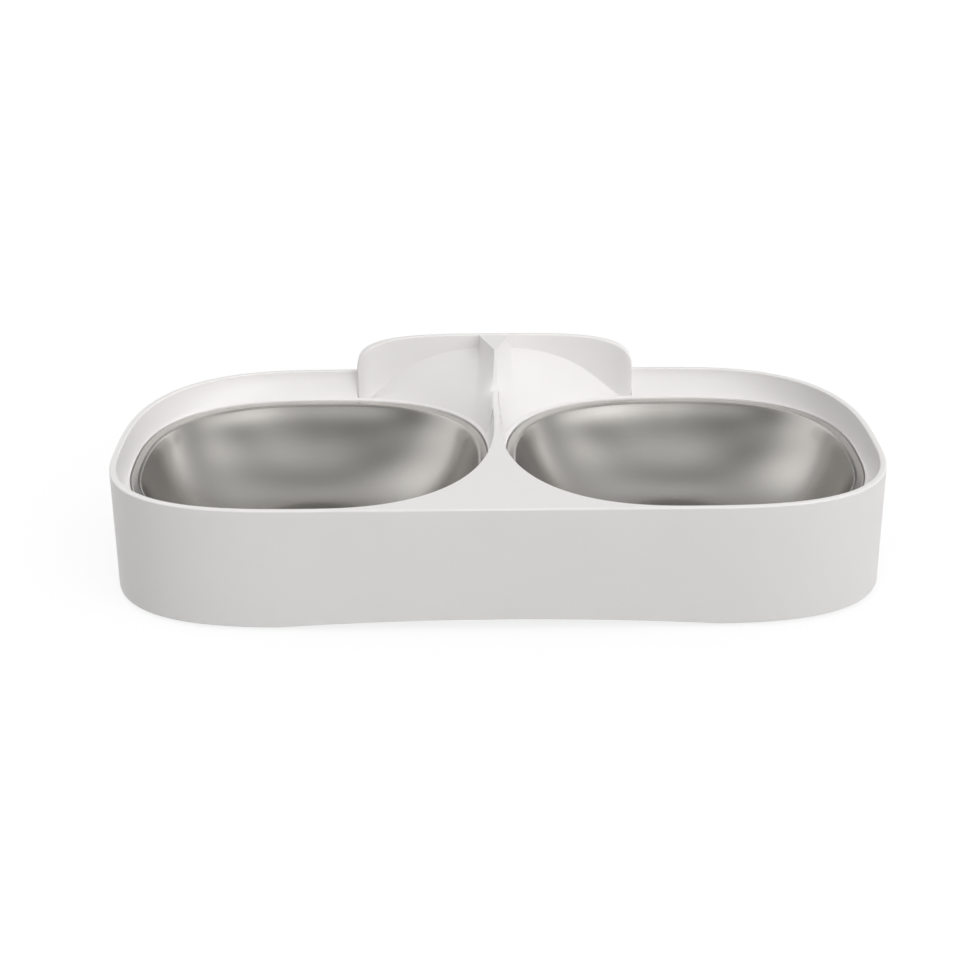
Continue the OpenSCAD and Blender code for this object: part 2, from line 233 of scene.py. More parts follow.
# %% Adding and cutting
def combine(base, tools, operation):
    """Adds each tool to the base or cuts it away, and removes the tool."""
    for tool in tools:
        step = base.modifiers.new("step", "BOOLEAN")
        step.operation = operation
        step.solver = "MANIFOLD"
        step.object = tool
        graph = bpy.context.evaluated_depsgraph_get()
        done = bpy.data.meshes.new_from_object(base.evaluated_get(graph))
        base.modifiers.clear()
        base.data = done
        bpy.data.objects.remove(tool)
    return base


def prism(name, plan, z0, z1):
    return loft(name, [at_height(plan, z0), at_height(plan, z1)])


def block(name, low, high):
    plan = [(low[0], low[1]), (high[0], low[1]), (high[0], high[1]), (low[0], high[1])]
    return prism(name, plan, low[2], high[2])


def circle(x, y, radius, count=64):
    return [(x + radius * math.cos(2 * math.pi * k / count),
             y + radius * math.sin(2 * math.pi * k / count)) for k in range(count)]


# %% Rounding, in steps from one side of an edge to the other
def bend(radius, steps=6):
    """Pairs (run-in, height below the edge) of a quarter round."""
    return [(radius * (1 - math.cos(math.pi / 2 * k / steps)),
             radius * (1 - math.sin(math.pi / 2 * k / steps))) for k in range(steps + 1)]


# %% [markdown]
# ## The tray
# The tray is one injection moulding. Its wall leans in a little from the rim to the foot,
# so that it leaves the tool. Around each bowl a hollow sloping wall runs down from the rim
# to the recess that takes the steel flange. The edges are rounded where light runs along
# them: the outside of the rim, both wells, and the foot of the wall.

# %% The outside and its rounded edges
edge_r, well_r, foot_r = 0.9, 0.7, 0.4
over = 5  # how far a cutting piece reaches past what it cuts
between = (20, 40)  # heights of two more outlines on the long wall


def lean(z):
    return draft * (1 - z / rim_h)


foot_turns = (0, math.pi / 6, math.pi / 3, math.pi / 2)
stack = [at_height(tray_outline(foot_r - run + lean(foot_gap)), foot_gap + foot_r - rise)
         for run, rise in [(foot_r * math.sin(a), foot_r * math.cos(a)) for a in foot_turns]]
stack += [at_height(tray_outline(lean(z)), z) for z in between]
stack += [at_height(tray_outline(run + lean(rim_h - drop)), rim_h - drop)
          for run, drop in bend(edge_r)]
tray = loft("tray_moulding", stack)
print("outside:", len(stack), "outlines")


# %% The wells
def well(name, grow, foot, head, steps, radius):
    """A plug in the shape of a well: up the recess, then out along the hollow wall to the rim."""
    recess = bowl_ring(-flange_gap - grow)
    rim = well_rim(grow)
    stack = [at_height(recess, foot)]
    for k in range(steps + 1):
        angle = math.pi / 2 * (1 - k / steps)
        out_share = math.cos(angle) ** (2 / cove_power)
        up_share = 1 - math.sin(angle) ** (2 / cove_power)
        stack.append(at_height(mix(recess, rim, out_share), lip_z + (rim_h - radius - lip_z) * up_share))
    if radius:
        stack += [at_height(well_rim(grow + run), rim_h - drop) for run, drop in bend(radius)[1:]]
        rim = well_rim(grow + radius)
    stack.append(at_height(rim, head))
    return loft(name, stack)


WELL_STEPS, BACK_STEPS = 16, 8
right_well = well("right_well", 0, ledge_z, rim_h + over, WELL_STEPS, well_r)
left_well = mirrored(right_well)
print("a well has", len(right_well.data.polygons), "faces before it is cut")


# %% The hollow underneath, with its ledges, collars, ribs and bosses
def wall_y(x, reach, power):
    share = (x - corner_x) / (corner_w - wall)
    return (reach - wall) * (1 - share ** power) ** (1 / power)


foot_rear_y = widest_y + wall_y(foot_x, tray_d / 2 - widest_y, rear_power) - boss_r + rib_t
foot_front_y = widest_y - wall_y(foot_x, tray_d / 2 + widest_y, front_power) + boss_r - rib_t
hollow = loft("hollow", [at_height(tray_outline(wall + lean(z)), z) for z in (-over, rim_h - wall)])
collar_foot = ledge_foot - collar_h
kept = [
    block("pocket_walls", (-hood_x - slip - wall, nose_y - wall, ledge_foot),
          (hood_x + slip + wall, nose_y - wall + tray_d, ledge_foot + rim_h)),
    block("front_rib", (-rib_t / 2, -tray_d / 2, collar_foot),
          (rib_t / 2, -tray_d / 2 + (tray_d - bowl_d / 2) / 2, collar_foot + rim_h)),
]
for side in (1, -1):
    back = well("well_back", wall, ledge_foot, rim_h + over, BACK_STEPS, 0)
    collar = prism("collar", bowl_ring(ledge_w - rib_t), collar_foot, ledge_z)
    if side < 0:
        back, collar = flip(back), flip(collar)
    kept += [back, collar]
    x = side * bowl_x
    kept.append(block("long_rib", (x - rib_t / 2, -tray_d / 2, collar_foot),
                      (x + rib_t / 2, tray_d / 2, ledge_z)))
    ends = sorted((x, side * (tray_w / 2)))
    kept.append(block("end_rib", (ends[0], bowl_y - rib_t / 2, collar_foot),
                      (ends[1], bowl_y + rib_t / 2, ledge_z)))
    for y in (foot_rear_y, foot_front_y):
        kept.append(prism("boss", circle(side * foot_x, y, boss_r), 0, foot_gap + boss_h))
hollow = combine(hollow, kept, "DIFFERENCE")
print("hollow left with", len(hollow.data.polygons), "faces")


# %% The pocket for the splitter, with the blade left standing in it
def pocket():
    room = block("pocket", (-hood_x - seam, nose_y, ledge_z),
                 (hood_x + seam, nose_y + tray_d, 2 * rim_h))
    left = prism("lip_left", bowl_ring(-flange_gap - lip_w), 0, 3 * rim_h)
    right = mirrored(left)
    blade = block("blade", (-blade_w / 2, nose_y - over, 0), (blade_w / 2, blade_end, 3 * rim_h))
    return combine(room, [left, right, blade], "DIFFERENCE")


# %% The low arch under the front and rear wall
ARCH_STEPS = 60
arch = [(arch_w / 2, -over), (-arch_w / 2, -over)]
for k in range(ARCH_STEPS + 1):
    share = 2 * k / ARCH_STEPS - 1
    arch.append((arch_w / 2 * share, arch_h * (1 - share * share)))
arch_cut = loft("arch", [[(x, y, foot_gap + z) for x, z in reversed(arch)] for y in (tray_d, -tray_d)])

# %% Cut everything out of the tray
cuts = [hollow, right_well, left_well, pocket(), arch_cut]
for side in (1, -1):
    hole = prism("bowl_hole", bowl_ring(ledge_w), -over, rim_h - over)
    cuts.append(flip(hole) if side < 0 else hole)
    for y in (foot_rear_y, foot_front_y):
        cuts.append(prism("pad_hole", circle(side * foot_x, y, pad_r + slip), -over, pad_t))
tray = combine(tray, cuts, "DIFFERENCE")
print("tray:", len(tray.data.polygons), "faces")


# %% [markdown]
# ## The splitter
# The splitter is a second moulding: an upright hood, two ramps that lead kibble forward
# into the bowls, and a prow between them that parts it. Its ramps are ruled surfaces,
# straight from the front edge up to the panel, so each is drawn as a row of sections from
# the nose to the back, and the rounded rim of the hood is drawn as a row of insets.

# %% Heights and edges of the ramps, the ridge and the prow
def arch_z(x):
    return lip_z + ramp_h * (1 - min(x / ramp_x, 1) ** arch_power)


lip_reach = (bowl_w / 2 + flange_gap + lip_w + seam, bowl_d / 2 + flange_gap + lip_w + seam)


def ramp_front(x, inset=0.0):
    share = min(abs(x - bowl_x) / (lip_reach[0] + inset), 1)
    return bowl_y + (lip_reach[1] + inset) * (1 - share ** flange_power) ** (1 / flange_power)


def lip_x(y):
    share = min(abs(y - bowl_y) / lip_reach[1], 1)
    return bowl_x - lip_reach[0] * (1 - share ** flange_power) ** (1 / flange_power)


def ramp_z(x, y):
    front = ramp_front(x)
    return lip_z + (arch_z(x) - lip_z) * (y - front) / (face_y - front)


def ridge_z(y):
    return rim_h + (hood_h - prow_drop) * min(max(0, (y - blade_end) / ridge_d), 1) ** ridge_power


def ridge_x(y):
    if y < tip_y:
        return ridge_w + (tip_w - ridge_w) * max(0, (y - blade_end) / ridge_d)
    return tip_w + (prow_x - foot_step - tip_w) * min(1, (y - tip_y) / (face_y - tip_y))


# %% The ramps and the prow as one block
side_x = hood_x - return_w / 2
turn_y = ramp_front(side_x)
nose_steps, ridge_steps, ramp_steps, flank_steps = 16, 24, 28, 18
nudge = foot_step / 4  # a short way along the ramp, to measure its slope where the flank ends
places = [nose_y + seam + (blade_end - nose_y - seam) * k / nose_steps for k in range(nose_steps)]
places += [blade_end + ridge_d * k / ridge_steps for k in range(ridge_steps)]
places += [tip_y + (turn_y - tip_y) * math.sin(math.pi / 2 * k / ridge_steps)
           for k in range(ridge_steps + 1)]
places.append(face_y + panel_t / 2)


def chute_section(y):
    edge = min(side_x, lip_x(y)) if y < turn_y else side_x
    foot = min(prow_x + foot_flare * (face_y - y) / (face_y - nose_y), edge - foot_step)
    tip, low = ridge_x(y), ramp_z(foot, y)
    slope = (ramp_z(foot + nudge, y) - low) / nudge
    side = []
    # the ramp, from its outer edge in to the foot of the prow
    for k in range(ramp_steps):
        x = edge + (foot - edge) * k / ramp_steps
        side.append((x, ramp_z(x, y)))
    # the prow's hollow flank, which leaves that foot along the ramp's slope and rises to the ridge
    for k in range(flank_steps, -1, -1):
        angle = math.pi / 2 * k / flank_steps
        x = tip + (foot - tip) * (1 - math.cos(angle) ** (2 / flank_power))
        up_share = 1 - math.sin(angle) ** (2 / flank_power)
        under = low + slope * (x - foot)
        side.append((x, under + (ridge_z(y) - under) * up_share))
    return ([(edge, y, ledge_z), (-edge, y, ledge_z)] + [(-x, y, z) for x, z in side]
            + [(x, y, z) for x, z in reversed(side)])


chute = loft("chute", [list(reversed(chute_section(y))) for y in places])
print("chute:", len(places), "sections")

# %% The hood's outline, and the same outline moved in
hood_r, hood_bend = 0.8, 5
hood_steps, side_steps, face_steps = 60, 12, 34


def hood_outline():
    points = [(-hood_x, ledge_z + (rim_h - ledge_z) * k / side_steps) for k in range(side_steps)]
    for k in range(2 * hood_steps + 1):
        u = squircle(math.pi - math.pi / 2 * k / hood_steps, hood_power)
        points.append((hood_x * u[0], rim_h + hood_h * u[1]))
    points += [(hood_x, rim_h + (ledge_z - rim_h) * (k + 1) / side_steps) for k in range(side_steps)]
    points += [(hood_x - 2 * hood_x * (k + 1) / hood_steps, ledge_z) for k in range(hood_steps - 1)]
    return points


def inset_outline(points, inset):
    """Moves each point inwards, at right angles to the line between its neighbours."""
    moved = []
    n = len(points)
    for k, (x, z) in enumerate(points):
        ax, az = points[k - 1]
        bx, bz = points[(k + 1) % n]
        tx, tz = bx - ax, bz - az
        size = math.hypot(tx, tz) or 1
        moved.append((x + inset * tz / size, z - inset * tx / size))
    return moved


# %% The hood's skin, from its back round the rim to the middle of its front
def hood_front(x):
    share = min(abs(x) / (hood_x - return_w), 1)
    return face_y - return_d * share ** return_power


outline = hood_outline()
turns = [math.pi / 2 * k / hood_bend for k in range(hood_bend + 1)]
stack = [[(x, panel_y - drop, z) for x, z in inset_outline(outline, hood_r - run)]
         for run, drop in [(hood_r * math.sin(a), hood_r * (1 - math.cos(a))) for a in turns]]
front = [(hood_r * (1 - math.cos(a)), hood_r * (1 - math.sin(a))) for a in turns]
stack += [[(x, hood_front(x) + drop, z) for x, z in inset_outline(outline, run)] for run, drop in front]
inner = inset_outline(outline, hood_r)
centre_z = (top_z + ledge_z) / 2
for k in range(1, face_steps):
    s = 1 - k / face_steps
    stack.append([(x * s, hood_front(x * s), centre_z + (z - centre_z) * s) for x, z in inner])
hood = loft("hood", stack)
print("hood:", len(hood.data.polygons), "faces")

# %% The hollows under the ramps and in the prow
cuts = []
first, slots = prow_x + skin, 6
pitch = (side_x - first) / slots
back_y = face_y - skin / 2
for k in range(slots):
    x = first + pitch * (k + 1) - rib_t
    front_y = ramp_front(x, skin)
    roof = ramp_z(x, back_y) - skin
    if roof > ledge_z + skin:
        x0 = x - pitch + rib_t
        section = [(front_y, ledge_z - over), (back_y, ledge_z - over), (back_y, roof),
                   (front_y, ramp_z(x, front_y) - skin)]
        slot = loft("slot", [[(px, y, z) for y, z in section] for px in (x0, x0 + pitch - rib_t)])
        cuts += [slot, mirrored(slot)]
prow_plan = [(prow_x - 2 * skin, back_y), (-prow_x + 2 * skin, back_y),
             (-tip_w, tip_y + 2 * skin), (tip_w, tip_y + 2 * skin)]
cuts.append(prism("prow_hollow", prow_plan, ledge_z - over, top_z - prow_drop - skin))
slot_x = blade_w / 2 + seam
cuts.append(block("blade_slot", (-slot_x, 0, 0), (slot_x, blade_end + seam, top_z)))
splitter = combine(hood, [chute], "UNION")
splitter = combine(splitter, cuts, "DIFFERENCE")
splitter.name = "splitter_moulding"
print("splitter:", len(splitter.data.polygons), "faces")

# %% [markdown]
# ## The steel bowls
# Each bowl is one disc of stainless steel, pressed into shape: a flat flange with its edge
# turned down, a rounded shoulder, a short sloping wall, and one wide round that leads down
# to a small flat base. A round dish could be spun from that section, but a squircle can't,
# so a stack of outlines follows the sheet all the way round: out along the underside and
# back along the inside. The outlines turn from squircles into ellipses towards the base.

# %% Section of the sheet and the bowl
shoulder_z = flange_z - shoulder_r
corner_z = base_z + bottom_r
round_reach = bottom_r + shoulder_r + (shoulder_z - corner_z) * math.sin(taper)
base_inset = flange_w + round_reach / math.cos(taper)


def shoulder(offset, steps=8):
    r = shoulder_r - offset
    return [(flange_w + r * math.sin(a), shoulder_z + r * math.cos(a))
            for a in ((math.pi / 2 - taper) * k / steps for k in range(steps + 1))]


def wide_round(offset, steps=40):
    r = bottom_r + offset
    return [(base_inset - r * math.cos(a), corner_z - r * math.sin(a))
            for a in (taper + (math.pi / 2 - taper) * k / steps for k in range(steps + 1))]


def straight(a, b, count):
    return [(a[0] + (b[0] - a[0]) * k / count, a[1] + (b[1] - a[1]) * k / count)
            for k in range(1, count)]


def dish(offset, steps=4):
    head, foot = shoulder(offset), wide_round(offset)
    return head + straight(head[-1], foot[0], steps) + foot


hem_z, hem_r, hem_steps = flange_z - hem_h, 0.1, 5
edge = [(sheet, flange_z - sheet), (sheet, hem_z + hem_r), (sheet - hem_r, hem_z),
        (hem_r, hem_z), (0, hem_z + hem_r)]
edge += [(run, flange_z - drop) for run, drop in bend(sheet, hem_steps)]
profile = list(reversed(dish(sheet))) + edge + dish(0)
right_bowl = loft("right_steel_bowl", [at_height(bowl_ring(inset, inset / base_inset), z)
                                       for inset, z in profile])
left_bowl = mirrored(right_bowl)
left_bowl.name = "left_steel_bowl"
print("bowl:", len(right_bowl.data.polygons), "faces, base half width",
      round(bowl_w / 2 - base_inset, 1), "mm")

# %% [markdown]
# ## The feet
# Four silicone pads keep the tray from sliding and from scratching the floor. Each is a
# small disc with a rounded lower edge, pressed into the recess of its boss.

# %% The pads
pads, pad_edge_r, pad_steps = {}, 0.5, 4
for row, y in (("front", foot_front_y), ("rear", foot_rear_y)):
    for hand, side in (("left", -1), ("right", 1)):
        stack = [at_height(circle(side * foot_x, y, pad_r - run), drop)
                 for run, drop in reversed(bend(pad_edge_r, pad_steps))]
        stack.append(at_height(circle(side * foot_x, y, pad_r), pad_t))
        pads[f"{row}_{hand}_foot"] = loft(f"{row}_{hand}_pad", stack)
print("pads at x", round(foot_x, 1), "y", round(foot_front_y, 1), round(foot_rear_y, 1))

# %% [markdown]
# ## Metres and smooth shading
# The pieces were drawn in millimetres and are now brought to metres. Faces that meet
# gently are shaded as one curve, and edges sharper than the limit stay crisp. Large flat
# faces weigh more than the small ones of a rounding, so they stay flat to the eye.

# %% Finish a piece
CREASE, FLAT_WEIGHT = math.radians(32), 60


def finish_piece(thing):
    shape = bmesh.new()
    shape.from_mesh(thing.data)
    bmesh.ops.scale(shape, vec=(MM, MM, MM), verts=shape.verts)
    bmesh.ops.recalc_face_normals(shape, faces=shape.faces)
    for face in shape.faces:
        face.smooth = True
    for line in shape.edges:
        line.smooth = len(line.link_faces) == 2 and line.calc_face_angle(0) < CREASE
    shape.to_mesh(thing.data)
    shape.free()
    weigh = thing.modifiers.new("weigh", "WEIGHTED_NORMAL")
    weigh.keep_sharp = True
    weigh.weight = FLAT_WEIGHT
    graph = bpy.context.evaluated_depsgraph_get()
    thing.data = bpy.data.meshes.new_from_object(thing.evaluated_get(graph))
    thing.modifiers.clear()
    thing.data.name = thing.name


for thing in [tray, splitter, left_bowl, right_bowl, *pads.values()]:
    finish_piece(thing)
    print(thing.name, len(thing.data.vertices), "points")

# %% [markdown]
# ## Colours and nodes
# Colours are written as on a screen, in hex, and turned into the linear values that light
# is worked out in. One small function adds a node, sets it and links it. A setting or link
# goes to a socket by its name, or by its number where several sockets share one name.

# %% Colour and node helpers
def linear(hex_colour):
    values = []
    for k in (0, 2, 4):
        v = int(hex_colour[k:k + 2], 16) / 255
        values.append(v / 12.92 if v <= 0.04045 else ((v + 0.055) / 1.055) ** 2.4)
    return (*values, 1.0)


def add(tree, kind, settings=None, links=None):
    node = tree.nodes.new(kind)
    for name, value in (settings or {}).items():
        if isinstance(name, int) or name in node.inputs:
            node.inputs[name].default_value = value
        else:
            setattr(node, name, value)
    for name, source in (links or {}).items():
        tree.links.new(source, node.inputs[name])
    return node


# Places of the colour sockets on a Mix node
COLOUR_A, COLOUR_B, COLOUR_OUT = 6, 7, 2


def new_material(name):
    material = bpy.data.materials.new(name)
    material.use_nodes = True
    material.node_tree.nodes.clear()
    return material, material.node_tree


# %% [markdown]
# ## White moulded ABS
# The tray and the splitter are ABS, injection moulded against a finely eroded steel tool.
# The tool leaves a faint satin skin, so highlights are soft, and the skin shows a little
# waviness from shrinkage, much wider than it is deep. Dust and handling make it slightly
# duller in places. A plain white would look like paper, and these three make it plastic.
# The tool's grain is too fine for the picture and is drawn coarser.

# %% ABS
dull_patch, erosion, shrinkage = 45, 1.2, 22  # widths in mm
# The eroded grain is really about a twentieth of a millimetre, too fine to show


def moulded_abs(name, hex_light, hex_deep):
    material, tree = new_material(name)
    place = add(tree, "ShaderNodeTexCoord")
    cloud = add(tree, "ShaderNodeTexNoise",
                {"Scale": 1 / (dull_patch * MM), "Detail": 3.0, "Roughness": 0.5},
                {"Vector": place.outputs["Object"]})
    colour = add(tree, "ShaderNodeMix",
                 {"data_type": "RGBA", COLOUR_A: linear(hex_light), COLOUR_B: linear(hex_deep)},
                 {"Factor": cloud.outputs["Fac"]})
    skin_grain = add(tree, "ShaderNodeTexNoise",
                     {"Scale": 1 / (erosion * MM), "Detail": 4.0, "Roughness": 0.6},
                     {"Vector": place.outputs["Object"]})
    wave = add(tree, "ShaderNodeTexNoise", {"Scale": 1 / (shrinkage * MM), "Detail": 1.0},
               {"Vector": place.outputs["Object"]})
    gloss = add(tree, "ShaderNodeMapRange",
                {"From Min": 0.3, "From Max": 0.7, "To Min": 0.33, "To Max": 0.42},
                {"Value": cloud.outputs["Fac"]})
    coarse = add(tree, "ShaderNodeBump", {"Strength": 0.25, "Distance": 0.2 * MM},
                 {"Height": wave.outputs["Fac"]})
    fine = add(tree, "ShaderNodeBump", {"Strength": 0.12, "Distance": 0.05 * MM},
               {"Height": skin_grain.outputs["Fac"], "Normal": coarse.outputs["Normal"]})
    shader = add(tree, "ShaderNodeBsdfPrincipled", {"IOR": 1.5},
                 {"Base Color": colour.outputs[COLOUR_OUT], "Roughness": gloss.outputs["Result"],
                  "Normal": fine.outputs["Normal"]})
    add(tree, "ShaderNodeOutputMaterial", links={"Surface": shader.outputs["BSDF"]})
    return material


tray_abs = moulded_abs("white_moulded_abs", "EDEBEA", "E8E6E5")
splitter_abs = moulded_abs("white_moulded_abs_splitter", "EDEBEA", "E8E6E5")
print("ABS grain", erosion, "mm, waviness", shrinkage, "mm")

# %% [markdown]
# ## Satin stainless steel
# The bowls are pressed from stainless sheet with a satin mill finish. It mirrors the room
# in soft bands, so most of what the eye takes for steel is the light round it. Rolling
# leaves fine streaks one way, which break the bands up a little. The real lines are a few
# hundredths of a millimetre apart, too fine to show, so they are drawn coarser here. The
# press holds the flange flat, and its top is painted a lighter colour than the rest: a painted
# highlight.

# %% Stainless steel
streak_l, streak_w, blotch = 30, 0.6, 35  # in mm
# Heights over which the steel turns to a lighter colour: a painted highlight on the flange's top
flange_highlight_low, flange_highlight_high = flange_z - 0.5, flange_z - 0.1


def satin_stainless(name):
    material, tree = new_material(name)
    place = add(tree, "ShaderNodeTexCoord")
    stretch = add(tree, "ShaderNodeMapping",
                  {"Scale": (1 / (streak_l * MM), 1 / (streak_w * MM), 1 / (streak_w * MM))},
                  {"Vector": place.outputs["Object"]})
    streaks = add(tree, "ShaderNodeTexNoise", {"Scale": 1.0, "Detail": 3.0, "Roughness": 0.6},
                  {"Vector": stretch.outputs["Vector"]})
    cloud = add(tree, "ShaderNodeTexNoise", {"Scale": 1 / (blotch * MM), "Detail": 2.0},
                {"Vector": place.outputs["Object"]})
    blend = add(tree, "ShaderNodeMath", {"operation": "MULTIPLY_ADD", 1: 0.35},
                {0: streaks.outputs["Fac"], 2: cloud.outputs["Fac"]})
    gloss = add(tree, "ShaderNodeMapRange",
                {"From Min": 0.4, "From Max": 0.95, "To Min": 0.17, "To Max": 0.24},
                {"Value": blend.outputs["Value"]})
    height = add(tree, "ShaderNodeSeparateXYZ", links={"Vector": place.outputs["Object"]})
    # Painted highlight: the sheet turns to the lighter colour near the top of the flange
    painted_flange_highlight = add(tree, "ShaderNodeMapRange",
                 {"From Min": flange_highlight_low * MM, "From Max": flange_highlight_high * MM,
                  "To Min": 0.0, "To Max": 1.0}, {"Value": height.outputs["Z"]})
    satin = add(tree, "ShaderNodeMix",
                {"data_type": "RGBA", COLOUR_A: linear("A4A29E"), COLOUR_B: linear("9D9B97")},
                {"Factor": streaks.outputs["Fac"]})
    # C6C4C0 is the lighter colour of the painted highlight on the flange's top
    colour = add(tree, "ShaderNodeMix", {"data_type": "RGBA", COLOUR_B: linear("C6C4C0")},
                 {"Factor": painted_flange_highlight.outputs["Result"], COLOUR_A: satin.outputs[COLOUR_OUT]})
    bump = add(tree, "ShaderNodeBump", {"Strength": 0.06, "Distance": 0.04 * MM},
               {"Height": streaks.outputs["Fac"]})
    shader = add(tree, "ShaderNodeBsdfPrincipled", {"Metallic": 1.0},
                 {"Base Color": colour.outputs[COLOUR_OUT], "Roughness": gloss.outputs["Result"],
                  "Normal": bump.outputs["Normal"]})
    add(tree, "ShaderNodeOutputMaterial", links={"Surface": shader.outputs["BSDF"]})
    return material


steel = satin_stainless("satin_pressed_stainless")
print("steel streaks", streak_w, "by", streak_l, "mm")

# %% [markdown]
# ## Moulded silicone
# The pads are pale silicone rubber from a blasted tool: matt, a little translucent, with a
# fine grain. They are hardly seen, but they carry the tray's contact shadow.

# %% Silicone
blasting = 0.8  # width of the grain in mm, coarser than the real tenth, which wouldn't show


def moulded_silicone(name):
    material, tree = new_material(name)
    place = add(tree, "ShaderNodeTexCoord")
    grain = add(tree, "ShaderNodeTexNoise", {"Scale": 1 / (blasting * MM), "Detail": 3.0},
                {"Vector": place.outputs["Object"]})
    colour = add(tree, "ShaderNodeMix",
                 {"data_type": "RGBA", COLOUR_A: linear("DCDAD7"), COLOUR_B: linear("CFCDCA")},
                 {"Factor": grain.outputs["Fac"]})
    gloss = add(tree, "ShaderNodeMapRange", {"To Min": 0.62, "To Max": 0.78},
                {"Value": grain.outputs["Fac"]})
    bump = add(tree, "ShaderNodeBump", {"Strength": 0.3, "Distance": 0.1 * MM},
               {"Height": grain.outputs["Fac"]})
    shader = add(tree, "ShaderNodeBsdfPrincipled", {"IOR": 1.41, "Subsurface Weight": 0.1},
                 {"Base Color": colour.outputs[COLOUR_OUT], "Roughness": gloss.outputs["Result"],
                  "Normal": bump.outputs["Normal"]})
    add(tree, "ShaderNodeOutputMaterial", links={"Surface": shader.outputs["BSDF"]})
    return material


silicone = moulded_silicone("pale_moulded_silicone")
print("silicone grain", blasting, "mm")

# %% Dress the pieces and let them ride
dressed = [
    (tray, "tray", "tray", "tray_plastic", tray_abs),
    (splitter, "splitter", "splitter", "splitter_plastic", splitter_abs),
    (left_bowl, "left_bowl", "left_bowl", "bowl_steel", steel),
    (right_bowl, "right_bowl", "right_bowl", "bowl_steel", steel),
]
dressed += [(pad, node, "tray", "foot_silicone", silicone) for node, pad in pads.items()]
for piece, node, body, slot_name, material in dressed:
    piece.data.materials.clear()
    piece.data.materials.append(material)
    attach(piece, body)
    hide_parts(node)
    print(piece.name, "stands for", node, "and moves with", body)

# %% [markdown]
# ## The floor and the background
# The picture is on plain white. A photographer would use a cove: a matt floor that curves
# up into a low wall, with no corner to see. Its paint is a middle grey, which takes the soft
# dark line where the tray nearly touches it and throws little light back onto the object.
# A glow is added for rays that come straight from the camera, off a mirror or through glass,
# and the two together show white.

# %% The cove
cove_inner, cove_reach, cove_bend, cove_h = 0.6, 6.0, 0.5, 1.05  # in metres
bend_steps, hair = 8, 0.001
cove_rings = [at_height(circle(0, 0, cove_inner), 0)]
for k in range(bend_steps + 1):
    a = math.pi / 2 * k / bend_steps
    ring = circle(0, 0, cove_reach - cove_bend * (1 - math.sin(a)))
    cove_rings.append(at_height(ring, cove_bend * (1 - math.cos(a))))
cove_rings.append(at_height(circle(0, 0, cove_reach), cove_h))
cove = loft("white_cove", cove_rings)
shape = bmesh.new()
shape.from_mesh(cove.data)
lid = [face for face in shape.faces if face.calc_center_median().z > cove_h - hair]
bmesh.ops.delete(shape, geom=lid, context="FACES_ONLY")
bmesh.ops.reverse_faces(shape, faces=shape.faces)
for face in shape.faces:
    face.smooth = True
shape.to_mesh(cove.data)
shape.free()
print("cove:", 2 * cove_reach, "m across, wall", cove_h, "m high")

# %% The cove's paint
GLOW = 0.8
material, tree = new_material("glowing_cove_paint")
rays = add(tree, "ShaderNodeLightPath")
mirrored_or_through = add(tree, "ShaderNodeMath", {"operation": "MAXIMUM"},
                          {0: rays.outputs["Is Glossy Ray"], 1: rays.outputs["Is Transmission Ray"]})
seen = add(tree, "ShaderNodeMath", {"operation": "MAXIMUM"},
           {0: rays.outputs["Is Camera Ray"], 1: mirrored_or_through.outputs["Value"]})
strength = add(tree, "ShaderNodeMath", {"operation": "MULTIPLY", 1: GLOW}, {0: seen.outputs["Value"]})
paint = add(tree, "ShaderNodeBsdfDiffuse", {"Color": linear("818181")})
glow = add(tree, "ShaderNodeEmission", {"Color": linear("FFFFFF")},
           {"Strength": strength.outputs["Value"]})
both = add(tree, "ShaderNodeAddShader", links={0: paint.outputs["BSDF"], 1: glow.outputs["Emission"]})
add(tree, "ShaderNodeOutputMaterial", links={"Surface": both.outputs["Shader"]})
cove.data.materials.append(material)
print("the cove's glow:", GLOW)

# %% [markdown]
# ## The lights
# White plastic in front of white, and satin steel that mirrors the room, need large soft
# sources: windows, pale walls and reflectors rather than bare lamps. Each is a soft patch of
# the sky round the object. Its strength falls off with the angle from its middle, so no edge
# shows in the steel. The list was made by a least-squares fit to the photograph,
# from how light the plastic is on each side and what the bowls mirror. It was then raised a
# little as a whole, and four strengths were changed. Between left and front it is
# dark near the floor, which draws the dark tongue in each bowl. Over the cove's wall the
# camera sees plain white, and the steel mirrors the patches themselves.

# %% Soft lights: degrees counterclockwise from the right, degrees above the floor, strength
soft_lights = {
    "right_wall_high": (0, 50, 1.15),
    "middle_ceiling": (0, 90, 0.48),
    "right_low_rear": (22, 10, 0.78),
    "rear_right_high": (36, 50, 0.37),
    "rear_right_low": (45, 10, 1.83),
    "rear_wall_high": (72, 50, 0.75),
    "rear_high": (108, 50, 0.21),
    "rear_left_wall": (129, 30, 1.13),
    "rear_left_high": (144, 50, 0.92),
    "left_low": (158, 10, 1.27),
    "left_wall": (180, 30, 1.0),
    "front_left_high": (216, 50, 0.51),
    "front_left_low": (248, 10, 2.53),
    "front_wall_high": (288, 50, 0.41),
    "front_ceiling": (288, 70, 0.69),
    "front_low": (292, 10, 4.12),
    "front_right_low": (315, 10, 3.6),
    "right_low_front": (338, 10, 2.0),
}
SOFTNESS = 16.0  # a patch is down to half its strength 17 degrees from its middle
world = bpy.data.worlds.new("studio")
bpy.context.scene.world = world
world.use_nodes = True
tree = world.node_tree
tree.nodes.clear()
place = add(tree, "ShaderNodeTexCoord")
total = None
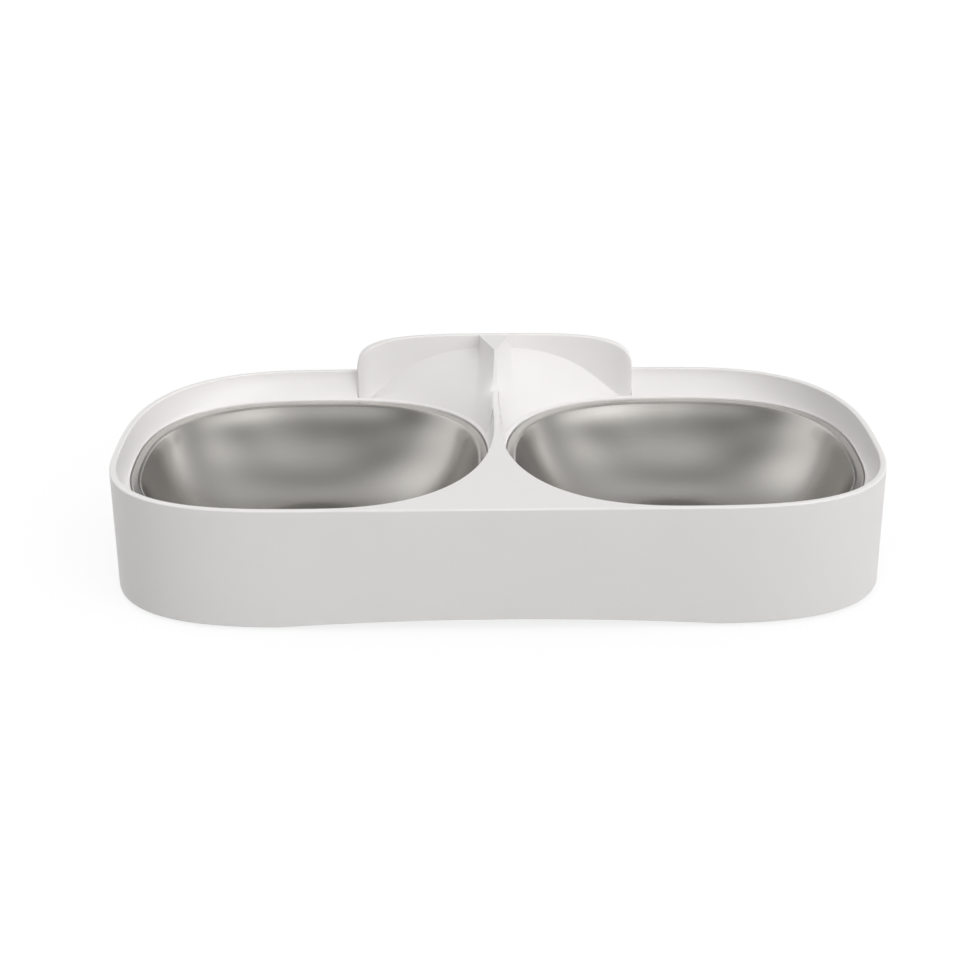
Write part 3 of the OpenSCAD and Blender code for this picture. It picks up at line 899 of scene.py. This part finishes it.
for name, (azimuth, height, strength) in soft_lights.items():
    a, h = math.radians(azimuth), math.radians(height)
    toward = (math.cos(h) * math.cos(a), math.cos(h) * math.sin(a), math.sin(h))
    facing = add(tree, "ShaderNodeVectorMath", {"operation": "DOT_PRODUCT", "label": name, 1: toward},
                 {0: place.outputs["Generated"]})
    fall = add(tree, "ShaderNodeMath", {"operation": "MULTIPLY_ADD", 1: SOFTNESS, 2: -SOFTNESS},
               {0: facing.outputs["Value"]})
    patch = add(tree, "ShaderNodeMath", {"operation": "EXPONENT"}, {0: fall.outputs["Value"]})
    share = add(tree, "ShaderNodeMath", {"operation": "MULTIPLY_ADD", 1: strength, 2: 0.0},
                {0: patch.outputs["Value"]})
    # each patch is strength x e^(softness x (cos(angle) - 1)), added to those before it
    if total:
        tree.links.new(total, share.inputs[2])
    total = share.outputs["Value"]
rays = add(tree, "ShaderNodeLightPath")
shown = add(tree, "ShaderNodeMath", {"operation": "MAXIMUM"},
            {0: rays.outputs["Is Camera Ray"], 1: total})
sky = add(tree, "ShaderNodeBackground", {"Color": linear("FFFFFF")},
          {"Strength": shown.outputs["Value"]})
add(tree, "ShaderNodeOutputWorld", links={"Surface": sky.outputs["Background"]})
print(len(soft_lights), "soft lights")

# %% [markdown]
# ## The camera
# The camera was found from the photograph: the outlines of the rim, the bowls and the hood
# fix its height, its distance and its lens. It looks down by 23 degrees from less than a
# metre away.

# %% Camera
focal_px, frame_px, sensor_mm = 1948, 971, 36
aside, above, away = -5.7, 26.8, 955  # in mm, seen along the camera's own axes
pitch, yaw, roll = math.radians(22.9), math.radians(0.44), math.radians(0.32)
forward = np.array([math.cos(pitch) * math.sin(yaw), math.cos(pitch) * math.cos(yaw), -math.sin(pitch)])
right = np.array([math.cos(yaw), -math.sin(yaw), 0])
up = np.cross(right, forward)
right_rolled = right * math.cos(roll) - up * math.sin(roll)
up_rolled = right * math.sin(roll) + up * math.cos(roll)
stand = (aside * right + above * up - away * forward + np.array([0, 0, foot_gap])) * MM
camera = bpy.data.objects.new("camera", bpy.data.cameras.new("camera"))
bpy.context.scene.collection.objects.link(camera)
camera.data.sensor_width = sensor_mm
camera.data.lens = focal_px / frame_px * sensor_mm
rows = np.array([right_rolled, up_rolled, -forward]).T
matrix = np.eye(4)
matrix[:3, :3] = rows
matrix[:3, 3] = stand
camera.matrix_world = Matrix(matrix.tolist())
bpy.context.scene.camera = camera
bpy.context.scene.view_settings.view_transform = "Standard"
print("camera at", [round(v / MM) for v in stand], "mm, lens", round(camera.data.lens, 1))
